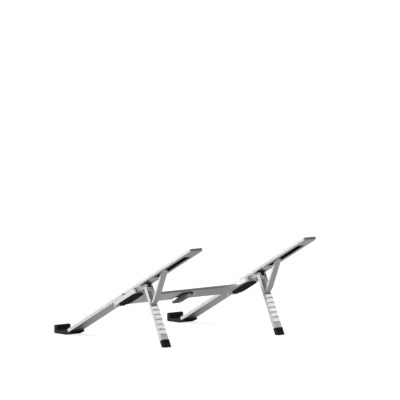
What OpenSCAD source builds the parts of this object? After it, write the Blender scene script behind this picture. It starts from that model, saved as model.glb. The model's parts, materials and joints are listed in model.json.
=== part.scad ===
// Folding laptop stand: two sloping side arms joined by one crossbar, each propped by a notched leg.
// A strut under each rear arm points into a notch of the leg. The front arms, legs and struts turn
// on pins that lie across the stand, and a small tab swivels under the middle of the crossbar.

/* [Frame] */
// Distance between the centre lines of the two arms
arm_spacing = 153; // [130:1:190]
// Width of both arms and of the hubs
arm_w = 18; // [15:0.2:22]
// Rounding of the upright corners of the rear arms
corner_r = 2.5; // [1:0.1:3.5]

/* [Rear arm] */
// Thickness of the rear arm
rear_t = 2.8; // [2.3:0.1:3.6]
// Hub centre to the front end of the rear arm, along the slope
rear_start = 3; // [2:0.5:5]
// Length of the solid tip behind the strut's slot
tip_l = 17; // [8:0.5:40]
// Front end of the slot to the strut pin
slot_ahead = 15; // [8:0.5:16]

/* [Front arm] */
// Hub centre to the front end of the front arm, along the slope
front_l = 104; // [80:0.5:125]
// Thickness of the front arm
front_t = 3.5; // [2.8:0.1:4.5]
// Gap along the seam between the front arm and the hub
seam_gap = 0.3; // [0.2:0.05:0.5]
// Height of the front arm's tail above the hub it rests over
tail_lift = 0.2; // [0.1:0.05:0.4]

/* [Hub and crossbar] */
// Hub centre to the front face of the hub
hub_front = 18; // [16:0.5:24]
// Hub centre to the rear face of the hub
hub_rear = 19.5; // [16:0.5:22]
// Height of the hub block
hub_t = 4.5; // [3.8:0.1:6]
// Rounding of the hub's outer rear corner
hub_r = 4; // [1:0.5:6]
// How far the hub reaches past the arm towards the crossbar
lug_l = 5.2; // [4.3:0.1:9]
// Width of the crossbar
bar_w = 22.5; // [17:0.5:26]
// Thickness of the crossbar
bar_t = 2.5; // [2:0.1:3.4]
// Front edge of the crossbar behind the hub's front face
bar_inset = 1; // [0.5:0.25:5]
// Hub left uncovered on each side of its rubber pad
pad_margin = 1; // [0.6:0.1:2]
// How far the rubber pad stands out of the hub
pad_proud = 0.7; // [0.4:0.1:0.9]

/* [Leg] */
// Hub centre to the leg pin, along the slope
leg_at = 32.5; // [28:0.5:42]
// Leg pin to the desk, along the leg
leg_l = 68.6; // [56:0.2:90]
// Width of the leg
leg_w = 9; // [8.6:0.2:11]
// Thickness of the leg
leg_t = 4.2; // [3.8:0.1:5.4]
// Angle between the open leg and the rear arm
leg_open = 91; // [86:0.5:100]
// Width of the block between the prongs of the leg
leg_lug_w = 4; // [3.4:0.1:4.6]
// Number of notches down the leg
notches = 7; // [3:1:8]
// Depth of a notch
notch_d = 1.5; // [1.1:0.1:1.7]
// Leg pin to the ledge of the first notch
notch_start = 23.4; // [21:0.2:28]
// How the notches spread out down the leg, 1 for even steps
notch_spread = 1.1; // [1:0.05:1.3]
// Last notch to the top of the rubber foot
notch_end = 6.1; // [4:0.1:8]
// Height of the rubber foot, along the leg
foot_l = 7.9; // [6:0.1:10]
// Wall of the rubber foot outside the sides and back of the leg
foot_wall = 0.3; // [0.2:0.1:0.8]

/* [Strut] */
// Leg pin to strut pin, along the slope
strut_behind = 32.5; // [27:0.5:40]
// Width of the strut
strut_w = 7.4; // [6:0.1:9]
// Gap between the strut and the lining on each side of its slot
strut_gap = 0.3; // [0.2:0.05:0.5]
// Length of the bevel at the tip of the strut
bevel_l = 6; // [4:0.5:9]
// Thickness left at the end of the bevel
tip_t = 0.7; // [0.5:0.1:1]
// Tip of the open strut to the ledge below it, along the leg
tip_gap = 3; // [2.6:0.1:3.4]
// How far the tip reaches into the notch
tip_reach = 0.8; // [0.5:0.1:0.9]

/* [Front hook] */
// Length of the hook along the desk, from its heel to the front of the lip
hook_l = 20; // [16:0.5:28]
// Height of the lip above the desk
lip_h = 9; // [7.6:0.1:16]
// Thickness of the lip
lip_t = 4.4; // [3:0.1:5.5]
// Height of the hook's foot above the desk
hook_t = 3.7; // [3.2:0.1:4.6]
// Thickness of the steel tongue inside the hook
core_t = 1.2; // [0.8:0.1:1.4]

/* [Pins and pads] */
// Diameter of the front hinge pin
hinge_pin_d = 2; // [1.6:0.1:2.4]
// Diameter of the leg pin
leg_pin_d = 2; // [1.6:0.1:2.6]
// Diameter of the strut pin
strut_pin_d = 1.4; // [1.1:0.1:1.5]
// Radial clearance where a piece turns on a pin
pin_clear = 0.05; // [0.02:0.01:0.1]
// Thickness of the pads on top of the arms
strip_t = 0.8; // [0.5:0.1:1.2]
// Arm left uncovered on each side of its pad
strip_margin = 2.5; // [1:0.1:4]

/* [Centre tab] */
// Width of the U-shaped bay in the middle of the crossbar
bay_w = 19; // [16:0.5:23]
// Crossbar left behind the bay
bay_wall = 1.85; // [1.4:0.05:3]
// Gap between the tab and each side of the bay
tab_gap = 3; // [2.6:0.1:4]
// Reach of the tab ahead of the crossbar
tab_reach = 7; // [4:0.5:12]
// Thickness of the tab
tab_t = 1.6; // [1.2:0.1:1.9]

/* [Hidden] */
$fn = 48;
LEFT = -1;
RIGHT = 1;
eps = 0.01;
gap = 0.3;
function span(middle, half) = [middle - half, middle + half];

// The deck frame: x across the stand, y up the slope from the hub centre, z square to the
// arms with 0 at their top faces. on_desk() tilts and lifts it onto the desk.
hub_top = -rear_t;
hub_bottom = hub_top - hub_t;
bar_x = arm_spacing / 2 - arm_w / 2 - lug_l;
bar_y = [bar_inset - hub_front, bar_inset - hub_front + bar_w];
bar_mid_y = (bar_y[0] + bar_y[1]) / 2;
bar_top = hub_bottom + bar_t;

// Joint of crossbar and hub
tenon_l = lug_l + 3.8;
tenon_w = bar_w - 4.5;
tenon_t = bar_t * 0.52;
tenon_z = hub_bottom + bar_t / 2;
bar_screw_x = bar_x + lug_l / 2;
bar_screw_ys = [bar_mid_y - 4, bar_mid_y + 4];
bar_screw_z = tenon_z - tenon_t / 2 - 0.2;
screw_d = 2;
screw_head_d = 3.6;
screw_head_t = 1;
hub_screw_ys = [rear_start + 5, rear_start + 11];
hub_screw_d = 2.4;
hub_screw_head_d = 4;
hub_screw_head_t = 1.2;
pad_seat = 0.3;
pad_w = arm_w - 2 * pad_margin;
pad_y = [0.75 - hub_front, hub_rear - 2.25];

// Front hinge, midway between the front arm's underside and its folded place below the pad
hinge_z = (hub_bottom - pad_proud + 0.1 - front_t) / 2;
knuckle_r = -front_t - hinge_z - gap;
hinge_at = [-hub_front - knuckle_r - 0.7, hinge_z];
knuckle_w = 6;
cheek_w = 3;
root_y = -hub_front - seam_gap;
tail_y = rear_start - 4;

// Leg, strut and notches in the plane of one arm, as [y, z] pairs
leg_half = leg_t / 2;
leg_pin_at = [leg_at, -rear_t - gap - leg_half];
leg_lug_r = leg_half + 0.1;
prong_w = (leg_w - leg_lug_w) / 2 - gap;
window_w = prong_w + 1.5;
strut_t = rear_t - 0.5;
strut_half = strut_t / 2;
strut_pin_at = [leg_at + strut_behind, -0.45 - strut_half];
function along(angle) = [cos(angle), -sin(angle)];
function square_to(angle) = [sin(angle), cos(angle)];
tip_at = leg_pin_at
    + along(leg_open) * (notch_start - tip_gap)
    + square_to(leg_open) * (leg_half - tip_reach);
tip_from_pin = norm(tip_at - strut_pin_at);
strut_l = sqrt(pow(tip_from_pin, 2) - pow(strut_half, 2));
tip_angle = atan2(strut_pin_at[1] - tip_at[1], tip_at[0] - strut_pin_at[0]);
strut_open = tip_angle - asin(strut_half / tip_from_pin);
liner_t = 0.5;
slot_w = strut_w + 2 * (strut_gap + liner_t);
slot_y = [strut_pin_at[0] - slot_ahead, strut_pin_at[0] + strut_l + 1.4 + liner_t];
rear_l = slot_y[1] + tip_l;
strut_pin_l = slot_w + 4;
foot_top = leg_l - foot_l;
notch_span = foot_top - notch_end - notch_start;
function notch_at(i) = notch_start + notch_span * pow(i / (notches - 1), notch_spread);
tooth_crest = 0.6;
root_l = 1.2;
nest_top = notch_start - tip_gap - 1.8;
nest_d = notch_d + 0.2;

// The desk touches the heel of the hook and the end of the leg
heel = [-front_l - 4.2, -front_t - 1.1];
foot_at = leg_pin_at + along(leg_open) * leg_l;
incline = atan2(heel[1] - foot_at[1], foot_at[0] - heel[0]);
function desk_y(p) = p[0] * cos(incline) - p[1] * sin(incline);
function desk_z(p) = p[0] * sin(incline) + p[1] * cos(incline);
shift_y = -(desk_y(heel) - hook_l + desk_y([rear_l, -rear_t])) / 2;
shift_z = -desk_z(heel);

// Hook, in a frame that starts at the heel and lies flat on the desk
hook_w = arm_w + 0.8;
core_w = 10;
core_low = 0.7;
core_l = 3.8;
wrap_l = 4.2;
wrap_t = 2;
lip_soft = 1;
rivet_d = 1.6;
rivet_head_d = 2.6;
rivet_head_t = 0.4;
rivet_y = -front_l + core_l / 2;
function from_heel_point(p) = [
    (p[0] - heel[0]) * cos(incline) - (p[1] - heel[1]) * sin(incline),
    (p[0] - heel[0]) * sin(incline) + (p[1] - heel[1]) * cos(incline)
];
// Where a line at height z in the deck frame reaches height v above the desk
function bend_y(z, v) = heel[0] + (v - (z - heel[1]) * cos(incline)) / sin(incline);
// Height in the deck frame of the foot's top where it meets the end of the arm
meet_z = heel[1] + (hook_t + (front_l + heel[0]) * sin(incline)) / cos(incline);

// Centre tab
bay_r = bay_w / 2;
bay_y = bar_y[1] - bay_wall - bay_r;
insert_t = 0.9;
tab_w = bay_w - 2 * tab_gap;
tab_z = [hub_bottom - 0.7 - tab_t, hub_bottom - 0.7];
eye_r = 2.8;
tab_pivot_y = bar_y[1] - bay_wall - gap - eye_r;
tab_front = bar_y[0] - tab_reach;
tab_r = 3.5;
pivot_d = 2.4;
pivot_head_d = 6.4;
pivot_head_t = 0.8;
tab_rivet_d = 2.2;
tab_rivet_ys = [tab_pivot_y - 5.4, tab_front + 7.3];

module on_desk() {
    translate([0, shift_y, shift_z]) rotate([incline, 0, 0]) children();
}

// Puts a piece on one arm. Inside, x = 0 is the arm's centre line and +x points outwards.
module on_arm(side) {
    on_desk() translate([side * arm_spacing / 2, 0, 0]) mirror([side < 0 ? 1 : 0, 0, 0]) children();
}

module bar_across(at, d, l) {
    translate([0, at[0], at[1]]) rotate([0, 90, 0]) cylinder(d = d, h = l, center = true);
}

// Turns a [y, z] outline into a piece of the given width across the arm
module across(w) {
    rotate([90, 0, 90]) linear_extrude(height = w, center = true) children();
}

// A block centred on x = 0
module block(w, ys, zs) {
    translate([-w / 2, ys[0], zs[0]]) cube([w, ys[1] - ys[0], zs[1] - zs[0]]);
}

module rounded_block(w, ys, zs, r) {
    block(w - 2 * r, ys, zs);
    block(w, [ys[0] + r, ys[1] - r], zs);
    for (x = [r - w / 2, w / 2 - r], y = [ys[0] + r, ys[1] - r])
        translate([x, y, zs[0]]) cylinder(r = r, h = zs[1] - zs[0]);
}

module stadium(w, ys, zs) {
    r = w / 2;
    block(w, [ys[0] + r, ys[1] - r], zs);
    for (y = [ys[0] + r, ys[1] - r])
        translate([0, y, zs[0]]) cylinder(r = r, h = zs[1] - zs[0]);
}

// The leg's own frame: y runs from the pin to the foot, z towards the face with the notches
module in_leg() {
    translate([0, leg_pin_at[0], leg_pin_at[1]]) rotate([-leg_open, 0, 0]) children();
}

// The strut's own frame: y runs from the pin to the tip, z towards the underside
module in_strut() {
    translate([0, strut_pin_at[0], strut_pin_at[1]]) rotate([-strut_open, 0, 0]) children();
}

// Flat on the desk from the heel of the hook: y runs rearwards, z upwards
module from_heel() {
    translate([0, heel[0], heel[1]]) rotate([-incline, 0, 0]) children();
}

// Crossbar and the tab under its middle

module bay(zs) {
    translate([0, bay_y, zs[0]]) cylinder(r = bay_r, h = zs[1] - zs[0]);
    block(bay_w, [bar_y[0] - 1, bay_y], zs);
}

module crossbar() {
    color("silver") on_desk() difference() {
        union() {
            block(2 * bar_x, bar_y, [hub_bottom, bar_top]);
            block(2 * (bar_x + tenon_l), span(bar_mid_y, tenon_w / 2), span(tenon_z, tenon_t / 2));
        }
        bay([hub_bottom - 1, bar_top + 1]);
        for (x = [-bar_screw_x, bar_screw_x], y = bar_screw_ys)
            translate([x, y, hub_bottom]) cylinder(d = screw_d, h = bar_t);
    }
}

module centre_insert() {
    color([0.06, 0.06, 0.06]) on_desk() difference() {
        intersection() {
            bay([bar_top - insert_t, bar_top]);
            block(bay_w + 1, bar_y, [hub_bottom, bar_top]);
        }
        translate([0, tab_pivot_y, hub_bottom]) cylinder(d = pivot_d, h = bar_t - 0.2);
    }
}

module tab_pivot() {
    head_top = tab_z[0] - pin_clear;
    color("silver") on_desk() translate([0, tab_pivot_y, 0]) difference() {
        union() {
            translate([0, 0, head_top - pivot_head_t]) cylinder(d = pivot_head_d, h = pivot_head_t);
            translate([0, 0, head_top]) cylinder(d = pivot_d, h = bar_top - 0.2 - head_top);
            translate([0, 0, tab_z[1] + pin_clear])
                cylinder(d = pivot_d + 2, h = bar_top - insert_t - tab_z[1] - pin_clear);
        }
        translate([-pivot_head_d / 2, -0.4, head_top - pivot_head_t - eps]) cube([pivot_head_d, 0.8, 0.4]);
    }
}

module centre_tab() {
    color("dimgray") on_desk() difference() {
        union() {
            rounded_block(tab_w, [tab_front, tab_pivot_y + 1], tab_z, tab_r);
            translate([0, tab_pivot_y, tab_z[0]]) cylinder(r = eye_r, h = tab_t);
        }
        translate([0, tab_pivot_y, tab_z[0] - 1]) cylinder(d = pivot_d + 2 * pin_clear, h = tab_t + 2);
        for (y = tab_rivet_ys)
            translate([0, y, tab_z[0] - 1]) cylinder(d = tab_rivet_d, h = tab_t + 2);
    }
}

module tab_rivets() {
    color("gainsboro") on_desk() for (y = tab_rivet_ys)
        translate([0, y, tab_z[0] - 0.3]) cylinder(d = tab_rivet_d, h = tab_t + 0.3);
}

// Hub

module hub(side) {
    inner = arm_w / 2;
    color("gainsboro") on_arm(side) difference() {
        union() {
            // the outer rear corner is round, the inner side flares out to the crossbar
            block(arm_w, [-hub_front, hub_rear - hub_r], [hub_bottom, hub_top]);
            block(arm_w - 2 * hub_r, [0, hub_rear], [hub_bottom, hub_top]);
            translate([inner - hub_r, hub_rear - hub_r, hub_bottom]) cylinder(r = hub_r, h = hub_t);
            translate([0, 0, hub_bottom]) linear_extrude(height = hub_t) polygon([
                [0, bar_y[0]],
                [0, hub_rear],
                [0.8 - inner, hub_rear],
                [-inner - 1.7, hub_rear - 1.9],
                [-inner - lug_l, bar_y[1]],
                [-inner - lug_l, bar_y[0]]
            ]);
            // hinge knuckle
            block(knuckle_w, [hinge_at[0], 0.5 - hub_front], span(hinge_at[1], knuckle_r));
            bar_across(hinge_at, 2 * knuckle_r, knuckle_w);
        }
        bar_across(hinge_at, hinge_pin_d + 2 * pin_clear, knuckle_w + 2);
        // pocket for the crossbar's tenon
        translate([-inner - lug_l - 1, bar_mid_y - tenon_w / 2, tenon_z - tenon_t / 2])
            cube([tenon_l + 1, tenon_w, tenon_t]);
        stadium(pad_w, pad_y, [hub_bottom - 1, hub_bottom + pad_seat]);
        for (y = hub_screw_ys)
            translate([0, y, 0]) hub_screw();
        for (y = bar_screw_ys)
            translate([bar_screw_x - arm_spacing / 2, y, 0]) bar_screw();
    }
}

module hub_screw() {
    head_z = hub_bottom + pad_seat;
    translate([0, 0, head_z]) cylinder(d = hub_screw_head_d, h = hub_screw_head_t);
    translate([0, 0, head_z]) cylinder(d = hub_screw_d, h = -1 - head_z);
}

module bar_screw() {
    translate([0, 0, hub_top - screw_head_t]) cylinder(d = screw_head_d, h = screw_head_t);
    translate([0, 0, bar_screw_z]) cylinder(d = screw_d, h = hub_top - screw_head_t / 2 - bar_screw_z);
}

module hub_pad(side) {
    color([0.08, 0.08, 0.08]) on_arm(side)
        stadium(pad_w, pad_y, [hub_bottom - pad_proud, hub_bottom + pad_seat]);
}

module hub_screws(side) {
    color("darkgray") on_arm(side) for (y = hub_screw_ys)
        translate([0, y, 0]) hub_screw();
}

module crossbar_screws(side) {
    color("darkgray") on_arm(side) for (y = bar_screw_ys)
        translate([bar_screw_x - arm_spacing / 2, y, 0]) bar_screw();
}

// Rear arm

module rear_arm(side) {
    color("silver") on_arm(side) difference() {
        rounded_block(arm_w, [rear_start, rear_l], [-rear_t, 0], corner_r);
        block_lug();
        // windows over the prongs of the leg
        for (s = [-1, 1])
            translate([s * (leg_lug_w + window_w) / 2, 0, 0])
                block(window_w, [leg_at - 6.5, leg_at + 3.5], [-rear_t - 1, 1]);
        block(slot_w, slot_y, [-rear_t - 1, 1]);
        bar_across(strut_pin_at, strut_pin_d, strut_pin_l);
        for (y = hub_screw_ys)
            translate([0, y, 0]) hub_screw();
    }
}

module rear_pad(side) {
    color([0.1, 0.1, 0.1]) on_arm(side)
        stadium(arm_w - 2 * strip_margin, [leg_at - 10.5, rear_l - 6], [0, strip_t]);
}

// A thin frame round the inside of the slot, with room for the strut to fold into it
module slot_lining(side) {
    inside_y = [slot_y[0] + liner_t, slot_y[1] - liner_t];
    color([0.08, 0.08, 0.08]) on_arm(side) difference() {
        block(slot_w, slot_y, [-rear_t, 0]);
        block(slot_w - 2 * liner_t, inside_y, [-rear_t - 1, 1]);
        bar_across(strut_pin_at, strut_pin_d, strut_pin_l);
    }
}

module block_lug() {
    block(leg_lug_w, span(leg_at, leg_lug_r), [leg_pin_at[1], -rear_t / 2]);
    bar_across(leg_pin_at, 2 * leg_lug_r, leg_lug_w);
}

// Set into the arm from below, between the prongs of the leg
module leg_block(side) {
    color([0.08, 0.08, 0.08]) on_arm(side) difference() {
        block_lug();
        bar_across(leg_pin_at, leg_pin_d, leg_lug_w + 2);
    }
}

// Front arm with its rubber hook

module front_arm(side) {
    color("gainsboro") on_arm(side) difference() {
        union() {
            block(arm_w, [-front_l, root_y], [-front_t, 0]);
            block(arm_w, [root_y - 1, tail_y], [tail_lift - rear_t, 0]);
            for (s = [-1, 1]) translate([s * (knuckle_w / 2 + gap + cheek_w / 2), 0, 0]) {
                block(cheek_w, span(hinge_at[0], knuckle_r), [hinge_at[1], -front_t / 2]);
                bar_across(hinge_at, 2 * knuckle_r, cheek_w);
            }
        }
        bar_across(hinge_at, hinge_pin_d, arm_w);
        hook_rivet_pair();
    }
}

module front_pad(side) {
    color([0.1, 0.1, 0.1]) on_arm(side)
        stadium(arm_w - 2 * strip_margin, [5.5 - front_l, root_y - 5.7], [0, strip_t]);
}

module hook_rivet_pair() {
    head_z = -front_t - core_t - rivet_head_t;
    for (x = [-3, 3]) translate([x, rivet_y, head_z]) {
        cylinder(d = rivet_head_d, h = rivet_head_t);
        cylinder(d = rivet_d, h = rivet_head_t + core_t + front_t / 2);
    }
}

module hook_rivets(side) {
    color("darkgray") on_arm(side) hook_rivet_pair();
}

// The tongue lies under the arm, bends level with the desk and turns up inside the lip
module core_shape() {
    low_z = -front_t - core_t;
    tongue_end = -front_l + core_l;
    back = lip_t / 2 - hook_l + core_t / 2;
    from_heel() across(core_w) polygon([
        from_heel_point([tongue_end, low_z]),
        from_heel_point([bend_y(low_z, core_low), low_z]),
        [back - core_t, core_low],
        [back - core_t, lip_h - 1.5],
        [back, lip_h - 1.5],
        [back, core_low + core_t],
        from_heel_point([bend_y(-front_t, core_low + core_t), -front_t]),
        from_heel_point([tongue_end, -front_t])
    ]);
}

module hook_core(side) {
    color("slategray") on_arm(side) difference() {
        core_shape();
        hook_rivet_pair();
    }
}

module front_hook(side) {
    wrap_end = -front_l + wrap_l;
    color([0.12, 0.12, 0.12]) on_arm(side) difference() {
        from_heel() across(hook_w) polygon([
            [0, 0],
            [lip_soft - hook_l, 0],
            [-hook_l, lip_soft],
            [-hook_l, lip_h - lip_soft],
            [lip_soft - hook_l, lip_h],
            [lip_t - lip_soft - hook_l, lip_h],
            [lip_t - hook_l, lip_h - lip_soft],
            [lip_t - hook_l, hook_t],
            from_heel_point([-front_l, meet_z]),
            from_heel_point([-front_l, -front_t]),
            from_heel_point([wrap_end, -front_t]),
            from_heel_point([wrap_end, -front_t - wrap_t + 0.4]),
            from_heel_point([wrap_end - 1, -front_t - wrap_t])
        ]);
        core_shape();
        hook_rivet_pair();
    }
}

// Leg

module leg_outline() {
    polygon(concat(
        [[0, -leg_half], [foot_top, -leg_half]],
        [[foot_top, leg_half - notch_d / 2], [notch_at(notches - 1) + tooth_crest, leg_half]],
        [for (i = [notches - 1 : -1 : 1], p = [
            [notch_at(i), leg_half],
            [notch_at(i), leg_half - notch_d],
            [notch_at(i) - root_l, leg_half - notch_d / 2],
            [notch_at(i - 1) + tooth_crest, leg_half]
        ]) p],
        [
            [notch_start, leg_half],
            [notch_start, leg_half - nest_d],
            [nest_top + 0.7, leg_half - nest_d],
            [nest_top, leg_half],
            [0, leg_half]
        ]
    ));
}

module leg(side) {
    fork_w = leg_lug_w + 2 * gap;
    color("silver") on_arm(side) in_leg() difference() {
        union() {
            across(leg_w) leg_outline();
            bar_across([0, 0], leg_t, leg_w);
            leg_end();
        }
        // fork, then a shallow trough down to the first notch
        block(fork_w, [-leg_t, leg_lug_r + 1.6], [-leg_t, leg_t]);
        block(leg_w - 2.8, [leg_lug_r + 2.8, nest_top + 0.5], [leg_half - 1.5, leg_t]);
        bar_across([0, 0], leg_pin_d + 2 * pin_clear, leg_w + 2);
    }
}

// The stub of the leg that sits inside the rubber foot
module leg_end() {
    block(leg_w - 2, [foot_top - 1, foot_top + foot_l / 2], [1 - leg_half, leg_half - 1]);
}

module leg_foot(side) {
    color([0.1, 0.1, 0.1]) on_arm(side) difference() {
        in_leg() difference() {
            block(leg_w + 2 * foot_wall, [foot_top, leg_l + leg_t], [-leg_half, leg_half + foot_wall]);
            leg_end();
        }
        // cut flat where it stands on the desk
        from_heel() block(2 * arm_w, [0, 2 * front_l + leg_l], [-2 * leg_t - 10, 0]);
    }
}

// Strut

module strut(side) {
    color("gainsboro") on_arm(side) in_strut() difference() {
        union() {
            across(strut_w) polygon([
                [0, -strut_half],
                [strut_l, -strut_half],
                [strut_l, tip_t - strut_half],
                [strut_l - bevel_l, strut_half],
                [0, strut_half]
            ]);
            bar_across([0, 0], strut_t, strut_w);
        }
        bar_across([0, 0], strut_pin_d + 2 * pin_clear, strut_w + 2);
    }
}

// Pins

module hinge_pin(side) {
    color("gray") on_arm(side) bar_across(hinge_at, hinge_pin_d, knuckle_w + 2 * (gap + cheek_w));
}

module leg_pin(side) {
    color("gray") on_arm(side) bar_across(leg_pin_at, leg_pin_d, leg_w - 0.4);
}

module strut_pin(side) {
    color("gray") on_arm(side) bar_across(strut_pin_at, strut_pin_d, strut_pin_l);
}

crossbar();
centre_insert();
tab_pivot();
centre_tab();
tab_rivets();
hub(LEFT);  // hub_left
hub(RIGHT);  // hub_right
hub_pad(LEFT);  // hub_pad_left
hub_pad(RIGHT);  // hub_pad_right
crossbar_screws(LEFT);  // crossbar_screws_left
crossbar_screws(RIGHT);  // crossbar_screws_right
hub_screws(LEFT);  // hub_screws_left
hub_screws(RIGHT);  // hub_screws_right
rear_arm(LEFT);  // rear_arm_left
rear_arm(RIGHT);  // rear_arm_right
rear_pad(LEFT);  // rear_pad_left
rear_pad(RIGHT);  // rear_pad_right
slot_lining(LEFT);  // slot_lining_left
slot_lining(RIGHT);  // slot_lining_right
front_arm(LEFT);  // front_arm_left
front_arm(RIGHT);  // front_arm_right
front_pad(LEFT);  // front_pad_left
front_pad(RIGHT);  // front_pad_right
hinge_pin(LEFT);  // hinge_pin_left
hinge_pin(RIGHT);  // hinge_pin_right
hook_core(LEFT);  // hook_core_left
hook_core(RIGHT);  // hook_core_right
hook_rivets(LEFT);  // hook_rivets_left
hook_rivets(RIGHT);  // hook_rivets_right
front_hook(LEFT);  // front_hook_left
front_hook(RIGHT);  // front_hook_right
leg(LEFT);  // leg_left
leg(RIGHT);  // leg_right
leg_pin(LEFT);  // leg_pin_left
leg_pin(RIGHT);  // leg_pin_right
leg_foot(LEFT);  // leg_foot_left
leg_foot(RIGHT);  // leg_foot_right
leg_block(LEFT);  // leg_block_left
leg_block(RIGHT);  // leg_block_right
strut(LEFT);  // strut_left
strut(RIGHT);  // strut_right
strut_pin(LEFT);  // strut_pin_left
strut_pin(RIGHT);  // strut_pin_right
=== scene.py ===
import json
import math

import bpy
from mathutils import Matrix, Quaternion, Vector

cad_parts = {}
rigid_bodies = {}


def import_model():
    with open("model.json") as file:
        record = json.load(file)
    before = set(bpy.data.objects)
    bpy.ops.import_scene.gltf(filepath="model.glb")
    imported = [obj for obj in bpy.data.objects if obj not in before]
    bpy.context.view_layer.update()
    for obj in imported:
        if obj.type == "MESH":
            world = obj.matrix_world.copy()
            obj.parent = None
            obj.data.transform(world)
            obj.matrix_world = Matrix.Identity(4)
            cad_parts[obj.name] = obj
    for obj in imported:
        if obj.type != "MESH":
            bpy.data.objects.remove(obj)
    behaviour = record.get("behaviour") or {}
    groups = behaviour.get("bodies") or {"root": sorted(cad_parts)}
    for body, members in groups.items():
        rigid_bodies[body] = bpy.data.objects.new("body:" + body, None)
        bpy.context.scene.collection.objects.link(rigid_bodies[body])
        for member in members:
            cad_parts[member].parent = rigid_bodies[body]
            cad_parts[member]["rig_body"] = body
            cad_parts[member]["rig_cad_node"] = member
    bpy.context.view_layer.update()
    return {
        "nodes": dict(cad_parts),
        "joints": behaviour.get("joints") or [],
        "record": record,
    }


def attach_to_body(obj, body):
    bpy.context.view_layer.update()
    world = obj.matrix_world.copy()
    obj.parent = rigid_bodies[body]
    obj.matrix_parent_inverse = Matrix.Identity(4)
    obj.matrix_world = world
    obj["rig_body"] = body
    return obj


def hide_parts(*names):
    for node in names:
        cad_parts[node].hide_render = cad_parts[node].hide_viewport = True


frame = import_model()

# Folding laptop stand: the CAD pieces get softened edges and worked finishes. Metres throughout.
MM = 0.001
WELD = 0.002 * MM                   # points closer than this are joined
FLAT_ANGLE = math.radians(0.6)      # faces flatter to each other than this are joined
BEVEL_ANGLE = math.radians(28)      # edges sharper than this are rounded
SMOOTH_ANGLE = math.radians(32)     # shading runs on over edges blunter than this
SAME_WAY = 0.999                    # cosine between a face and the way it has to point
PANEL_WALL = 0.1 * MM               # slope at the side of a sunk panel
SENSOR_WIDTH = 36.0
FLOOR_SIZE = 30.0
record = frame["record"]
joints = {joint["name"]: joint for joint in frame["joints"]}
body_of_node = {node: body for body, nodes in record["behaviour"]["bodies"].items() for node in nodes}
slot_of_node = {entry["node"]: entry["material_slot"] for entry in record["subparts"]}

# The deck is the tilted plane of the arms. The centre tab swivels square to it.
deck_normal = Vector(joints["tab_swivel"]["axis"])
incline = math.atan2(-deck_normal.y, deck_normal.z)


# ---- finishes ----

class Finish:
    """One material and the small steps that its pattern is built from."""

    def __init__(self, name, color, roughness, metallic=0.0):
        self.material = bpy.data.materials.new(name)
        self.material.use_nodes = True
        self.nodes = self.material.node_tree.nodes
        self.links = self.material.node_tree.links
        self.shader = self.nodes["Principled BSDF"]
        self.shader.inputs["Base Color"].default_value = (*color, 1.0)
        self.shader.inputs["Roughness"].default_value = roughness
        self.shader.inputs["Metallic"].default_value = metallic
        self.place = self.nodes.new("ShaderNodeTexCoord").outputs["Object"]

    def along_deck(self, stretch):
        """Object coordinates turned into the deck's plane and drawn out along the arms."""
        mapping = self.nodes.new("ShaderNodeMapping")
        mapping.vector_type = "TEXTURE"
        mapping.inputs["Rotation"].default_value = (incline, 0.0, 0.0)
        mapping.inputs["Scale"].default_value = (1.0, stretch, 1.0)
        self.links.new(self.place, mapping.inputs["Vector"])
        return mapping.outputs["Vector"]

    def noise(self, scale, detail=3.0, rough=0.55, vector=None):
        node = self.nodes.new("ShaderNodeTexNoise")
        node.inputs["Scale"].default_value = scale
        node.inputs["Detail"].default_value = detail
        node.inputs["Roughness"].default_value = rough
        self.links.new(vector or self.place, node.inputs["Vector"])
        return node.outputs["Fac"]

    def cells(self, scale):
        node = self.nodes.new("ShaderNodeTexVoronoi")
        node.inputs["Scale"].default_value = scale
        self.links.new(self.place, node.inputs["Vector"])
        return node.outputs["Distance"]

    def spread(self, value, low, high, start=0.3, end=0.7):
        node = self.nodes.new("ShaderNodeMapRange")
        node.inputs["From Min"].default_value = start
        node.inputs["From Max"].default_value = end
        node.inputs["To Min"].default_value = low
        node.inputs["To Max"].default_value = high
        self.links.new(value, node.inputs["Value"])
        return node.outputs["Result"]

    def tint(self, value, first, second, start=0.3, end=0.7):
        ramp = self.nodes.new("ShaderNodeValToRGB")
        ramp.color_ramp.elements[0].position = start
        ramp.color_ramp.elements[0].color = (*first, 1.0)
        ramp.color_ramp.elements[1].position = end
        ramp.color_ramp.elements[1].color = (*second, 1.0)
        self.links.new(value, ramp.inputs["Fac"])
        self.links.new(ramp.outputs["Color"], self.shader.inputs["Base Color"])

    def vary_roughness(self, value, low, high):
        self.links.new(self.spread(value, low, high), self.shader.inputs["Roughness"])

    def bump(self, *layers):
        """Each layer is a value with the depth in metres that it presses into the surface."""
        below = None
        for value, depth in layers:
            node = self.nodes.new("ShaderNodeBump")
            node.inputs["Strength"].default_value = 1.0
            node.inputs["Distance"].default_value = depth
            self.links.new(value, node.inputs["Height"])
            if below:
                self.links.new(below, node.inputs["Normal"])
            below = node.outputs["Normal"]
        self.links.new(below, self.shader.inputs["Normal"])


def satin_aluminium():
    """Bead-blasted and anodised: a fine even grain with faint handling marks along the arms."""
    finish = Finish("satin_aluminium", (0.80, 0.81, 0.82), 0.36, metallic=1.0)
    clouds = finish.noise(60.0, detail=4.0)
    grain = finish.noise(6500.0, detail=2.0)
    marks = finish.noise(900.0, detail=2.0, vector=finish.along_deck(22.0))
    finish.tint(clouds, (0.79, 0.80, 0.812), (0.825, 0.83, 0.838))
    finish.vary_roughness(marks, 0.34, 0.38)
    finish.bump((grain, 0.000004), (marks, 0.000001))
    return finish.material


def turned_steel():
    finish = Finish("turned_steel", (0.60, 0.60, 0.61), 0.28, metallic=1.0)
    finish.tint(finish.noise(400.0), (0.56, 0.56, 0.57), (0.64, 0.64, 0.65))
    finish.vary_roughness(finish.noise(2500.0), 0.22, 0.36)
    finish.bump((finish.noise(5000.0), 0.000004))
    return finish.material


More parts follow.
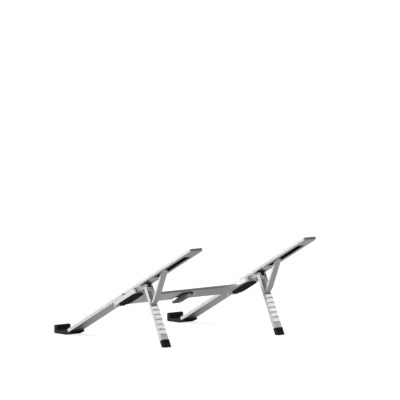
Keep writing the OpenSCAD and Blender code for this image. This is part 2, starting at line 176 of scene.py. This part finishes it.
def dark_steel():
    finish = Finish("dark_plated_steel", (0.30, 0.30, 0.31), 0.36, metallic=1.0)
    finish.tint(finish.noise(500.0), (0.26, 0.26, 0.27), (0.34, 0.34, 0.35))
    finish.vary_roughness(finish.noise(2200.0), 0.30, 0.44)
    finish.bump((finish.noise(4200.0), 0.000005))
    return finish.material


def moulded_rubber():
    """The hooks and feet: matt, a little dusty, with a fine spark-eroded grain."""
    finish = Finish("moulded_rubber", (0.010, 0.010, 0.011), 0.62)
    finish.shader.inputs["Specular IOR Level"].default_value = 0.35
    dust = finish.noise(240.0, detail=5.0)
    finish.tint(dust, (0.007, 0.007, 0.008), (0.015, 0.015, 0.016), 0.35, 0.75)
    finish.vary_roughness(dust, 0.54, 0.72)
    finish.bump((finish.cells(2600.0), 0.00003), (finish.noise(180.0), 0.00004))
    return finish.material


def silicone_pad():
    """The flat pads: smoother than the hooks, with a fine leather-like grain."""
    finish = Finish("silicone_pad", (0.004, 0.004, 0.004), 0.6)
    finish.shader.inputs["Specular IOR Level"].default_value = 0.12
    finish.tint(finish.noise(160.0, detail=4.0), (0.003, 0.003, 0.003), (0.006, 0.006, 0.006))
    finish.vary_roughness(finish.noise(700.0), 0.52, 0.68)
    finish.bump((finish.cells(3400.0), 0.00002))
    return finish.material


def black_plastic():
    finish = Finish("black_plastic", (0.008, 0.008, 0.008), 0.55)
    finish.tint(finish.noise(200.0), (0.006, 0.006, 0.006), (0.010, 0.010, 0.011))
    finish.vary_roughness(finish.noise(900.0), 0.48, 0.62)
    finish.bump((finish.noise(4000.0), 0.00001))
    return finish.material


def dark_plastic():
    finish = Finish("dark_plastic", (0.13, 0.13, 0.135), 0.45)
    finish.tint(finish.noise(180.0, detail=4.0), (0.12, 0.12, 0.125), (0.15, 0.15, 0.155))
    finish.vary_roughness(finish.noise(800.0), 0.38, 0.52)
    finish.bump((finish.noise(4200.0), 0.000012))
    return finish.material


def studio_paper():
    """Grey enough not to flood the metal from below, and lifted to white where it is seen directly."""
    finish = Finish("studio_paper", (0.46, 0.46, 0.46), 0.9)
    finish.vary_roughness(finish.noise(30.0), 0.86, 0.94)
    seen = finish.nodes.new("ShaderNodeLightPath").outputs["Is Camera Ray"]
    finish.shader.inputs["Emission Color"].default_value = (1.0, 1.0, 1.0, 1.0)
    finish.links.new(finish.spread(seen, 0.0, 0.75, 0.0, 1.0), finish.shader.inputs["Emission Strength"])
    return finish.material


finish_of_slot = {
    "satin_aluminium": satin_aluminium(),
    "steel": turned_steel(),
    "dark_steel": dark_steel(),
    "rubber": moulded_rubber(),
    "rubber_pad": silicone_pad(),
    "black_plastic": black_plastic(),
    "dark_plastic": dark_plastic(),
}


# ---- pieces ----

def only(piece):
    bpy.ops.object.select_all(action="DESELECT")
    piece.select_set(True)
    bpy.context.view_layer.objects.active = piece


def attach(piece, node):
    """The piece stands for the node: same body, same finish."""
    piece.data.materials.clear()
    piece.data.materials.append(finish_of_slot[slot_of_node[node]])
    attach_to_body(piece, body_of_node[node])
    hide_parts(node)
    return piece


def merged_copy(node):
    """A copy of a CAD piece with its flat faces joined up, ready to be worked on."""
    piece = frame["nodes"][node].copy()
    piece.data = piece.data.copy()
    piece.name = node + "_piece"
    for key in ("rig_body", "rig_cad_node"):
        if key in piece:
            del piece[key]
    piece.parent = None
    bpy.context.scene.collection.objects.link(piece)
    only(piece)
    bpy.ops.object.mode_set(mode="EDIT")
    bpy.ops.mesh.select_mode(type="FACE")
    bpy.ops.mesh.select_all(action="SELECT")
    bpy.ops.mesh.remove_doubles(threshold=WELD)
    bpy.ops.mesh.dissolve_limited(angle_limit=FLAT_ANGLE, delimit=set())
    bpy.ops.mesh.select_all(action="DESELECT")
    bpy.ops.object.mode_set(mode="OBJECT")
    return piece


def pick(piece, facing, smallest, largest):
    """Selects the faces that point one way and whose area, in mm2, lies between two sizes."""
    towards = Vector(facing).normalized()
    for face in piece.data.polygons:
        area = face.area / (MM * MM)
        face.select = face.normal.dot(towards) > SAME_WAY and smallest <= area <= largest
    return any(face.select for face in piece.data.polygons)


def sink(piece, rim, depth):
    """Sinks each picked face, leaving a rim around it. Sizes in mm."""
    only(piece)
    bpy.ops.object.mode_set(mode="EDIT")
    bpy.ops.mesh.inset(thickness=rim * MM, use_individual=True)
    bpy.ops.mesh.inset(thickness=PANEL_WALL, depth=-depth * MM, use_individual=True)
    bpy.ops.mesh.select_all(action="DESELECT")
    bpy.ops.object.mode_set(mode="OBJECT")


def soften(piece, width, segments):
    """Rounds every edge sharper than BEVEL_ANGLE. Width in mm."""
    only(piece)
    bpy.ops.object.modifier_add(type="BEVEL")
    bevel = piece.modifiers[-1]
    bevel.width = width * MM
    bevel.segments = segments
    bevel.limit_method = "ANGLE"
    bevel.angle_limit = BEVEL_ANGLE
    bevel.use_clamp_overlap = True
    bpy.ops.object.modifier_apply(modifier=bevel.name)
    bpy.ops.object.shade_smooth_by_angle(angle=SMOOTH_ANGLE)
    bpy.ops.object.modifier_add(type="WEIGHTED_NORMAL")
    piece.modifiers[-1].keep_sharp = True
    bpy.ops.object.modifier_apply(modifier=piece.modifiers[-1].name)


# Directions of the faces that get worked on
UP = (0.0, 0.0, 1.0)
REARWARD = (0.0, 1.0, 0.0)
DECK_UP = tuple(deck_normal)
DECK_DOWN = tuple(-deck_normal)

# Kind of piece: edge radius and number of segments, then the panels that are sunk into it as
# (facing, smallest and largest area in mm2, rim, depth). Lengths in mm.
work_on = {
    "crossbar": (0.25, 2, []),
    "centre_insert": (0.1, 2, []),
    "tab_pivot": (0.12, 2, []),
    "centre_tab": (0.35, 3, [(DECK_DOWN, 150, 400, 1.3, 0.25)]),
    "tab_rivets": (0.4, 3, []),
    "hub": (0.3, 2, []),
    "hub_pad": (0.4, 3, [(DECK_DOWN, 200, 900, 1.6, 0.25)]),
    "crossbar_screws": (0.1, 2, [(DECK_UP, 4, 14, 0.9, 0.6)]),
    "hub_screws": (0.12, 2, []),
    "rear_arm": (0.3, 3, []),
    "rear_pad": (0.3, 2, []),
    "front_arm": (0.3, 3, []),
    "front_pad": (0.3, 2, []),
    "hinge_pin": (0.15, 2, []),
    "hook_core": (0.15, 2, []),
    "hook_rivets": (0.15, 2, []),
    "front_hook": (0.6, 3, [(REARWARD, 40, 200, 1.3, 0.35), (UP, 100, 400, 1.6, 0.3)]),
    "leg": (0.18, 2, []),
    "leg_pin": (0.25, 3, []),
    "leg_foot": (0.8, 4, []),
    "leg_block": (0.2, 3, []),
    # slot_lining is a thin dark skin laid over the walls of the slot in each rear arm: painted shade,
    # standing in for the shadow inside the slot.
    "slot_lining": (0.08, 1, []),
    "strut": (0.22, 3, []),
    "strut_pin": (0.12, 2, []),
}
for node_name in sorted(frame["nodes"]):
    kind = node_name.removesuffix("_left").removesuffix("_right")
    radius, steps, panels = work_on[kind]
    worked = merged_copy(node_name)
    for facing, smallest, largest, rim, depth in panels:
        if pick(worked, facing, smallest, largest):
            sink(worked, rim, depth)
    soften(worked, radius, steps)
    attach(worked, node_name)


# ---- floor, light and camera ----

def studio_floor():
    bpy.ops.object.select_all(action="DESELECT")
    bpy.ops.mesh.primitive_plane_add(size=FLOOR_SIZE, location=(0.0, 0.0, 0.0))
    floor = bpy.context.active_object
    floor.name = "studio_floor"
    floor.data.materials.append(studio_paper())


def soft_light(name, direction, distance, size, power):
    """A square area light that faces the stand from the given direction."""
    bpy.ops.object.select_all(action="DESELECT")
    towards = Vector(direction).normalized()
    bpy.ops.object.light_add(type="AREA", location=towards * distance)
    light = bpy.context.active_object
    light.name = name
    light.rotation_mode = "QUATERNION"
    light.rotation_quaternion = towards.to_track_quat("Z", "Y")
    light.data.size = size
    light.data.energy = power
    return light


def studio_world(bright_side, low, high):
    """A soft surround, brighter towards one side, and plain white behind the stand."""
    world = bpy.data.worlds.new("studio")
    world.use_nodes = True
    bpy.context.scene.world = world
    nodes, links = world.node_tree.nodes, world.node_tree.links
    background = nodes["Background"]
    direction = nodes.new("ShaderNodeTexCoord").outputs["Generated"]
    side = nodes.new("ShaderNodeVectorMath")
    side.operation = "DOT_PRODUCT"
    side.inputs[1].default_value = Vector(bright_side).normalized()
    links.new(direction, side.inputs[0])
    spread = nodes.new("ShaderNodeMapRange")
    spread.interpolation_type = "SMOOTHSTEP"
    spread.inputs["From Min"].default_value = -0.7
    spread.inputs["From Max"].default_value = 0.8
    spread.inputs["To Min"].default_value = low
    spread.inputs["To Max"].default_value = high
    links.new(side.outputs["Value"], spread.inputs["Value"])
    links.new(spread.outputs["Result"], background.inputs["Strength"])
    background.inputs["Color"].default_value = (1.0, 1.0, 1.0, 1.0)


def rear_camera(azimuth, elevation, roll, aim, distance, lens):
    """A very long lens from behind the stand, a little above the desk."""
    turn, lift = math.radians(azimuth), math.radians(elevation)
    back = Vector((
        math.sin(turn) * math.cos(lift),
        -math.cos(turn) * math.cos(lift),
        math.sin(lift),
    ))
    bpy.ops.object.select_all(action="DESELECT")
    bpy.ops.object.camera_add(location=Vector(aim) + back * distance)
    camera = bpy.context.active_object
    camera.name = "view_from_behind"
    camera.rotation_mode = "QUATERNION"
    level = (-back).to_track_quat("-Z", "Y")
    camera.rotation_quaternion = level @ Quaternion((0.0, 0.0, 1.0), math.radians(roll))
    camera.data.lens = lens
    camera.data.sensor_width = SENSOR_WIDTH
    camera.data.clip_start = 0.1
    camera.data.clip_end = 60.0
    bpy.context.scene.camera = camera


studio_floor()
studio_world(bright_side=(0.75, -0.62, 0.25), low=0.06, high=0.95)
soft_light("key_light", direction=(0.9, -0.5, 1.3), distance=2.6, size=2.4, power=17.0)
soft_light("top_light", direction=(-0.1, 0.2, 1.0), distance=3.0, size=3.0, power=5.0)
soft_light("side_card", direction=(0.64, -0.75, 0.16), distance=2.4, size=1.5, power=13.0)
soft_light("rear_card", direction=(-0.63, 0.77, 0.13), distance=2.2, size=0.8, power=4.0)
rear_camera(
    azimuth=140.76, elevation=6.06, roll=-0.55,
    aim=(-0.0222, -0.0012, 0.1413), distance=9.0, lens=773.15,
)
bpy.context.scene.view_settings.view_transform = "Standard"
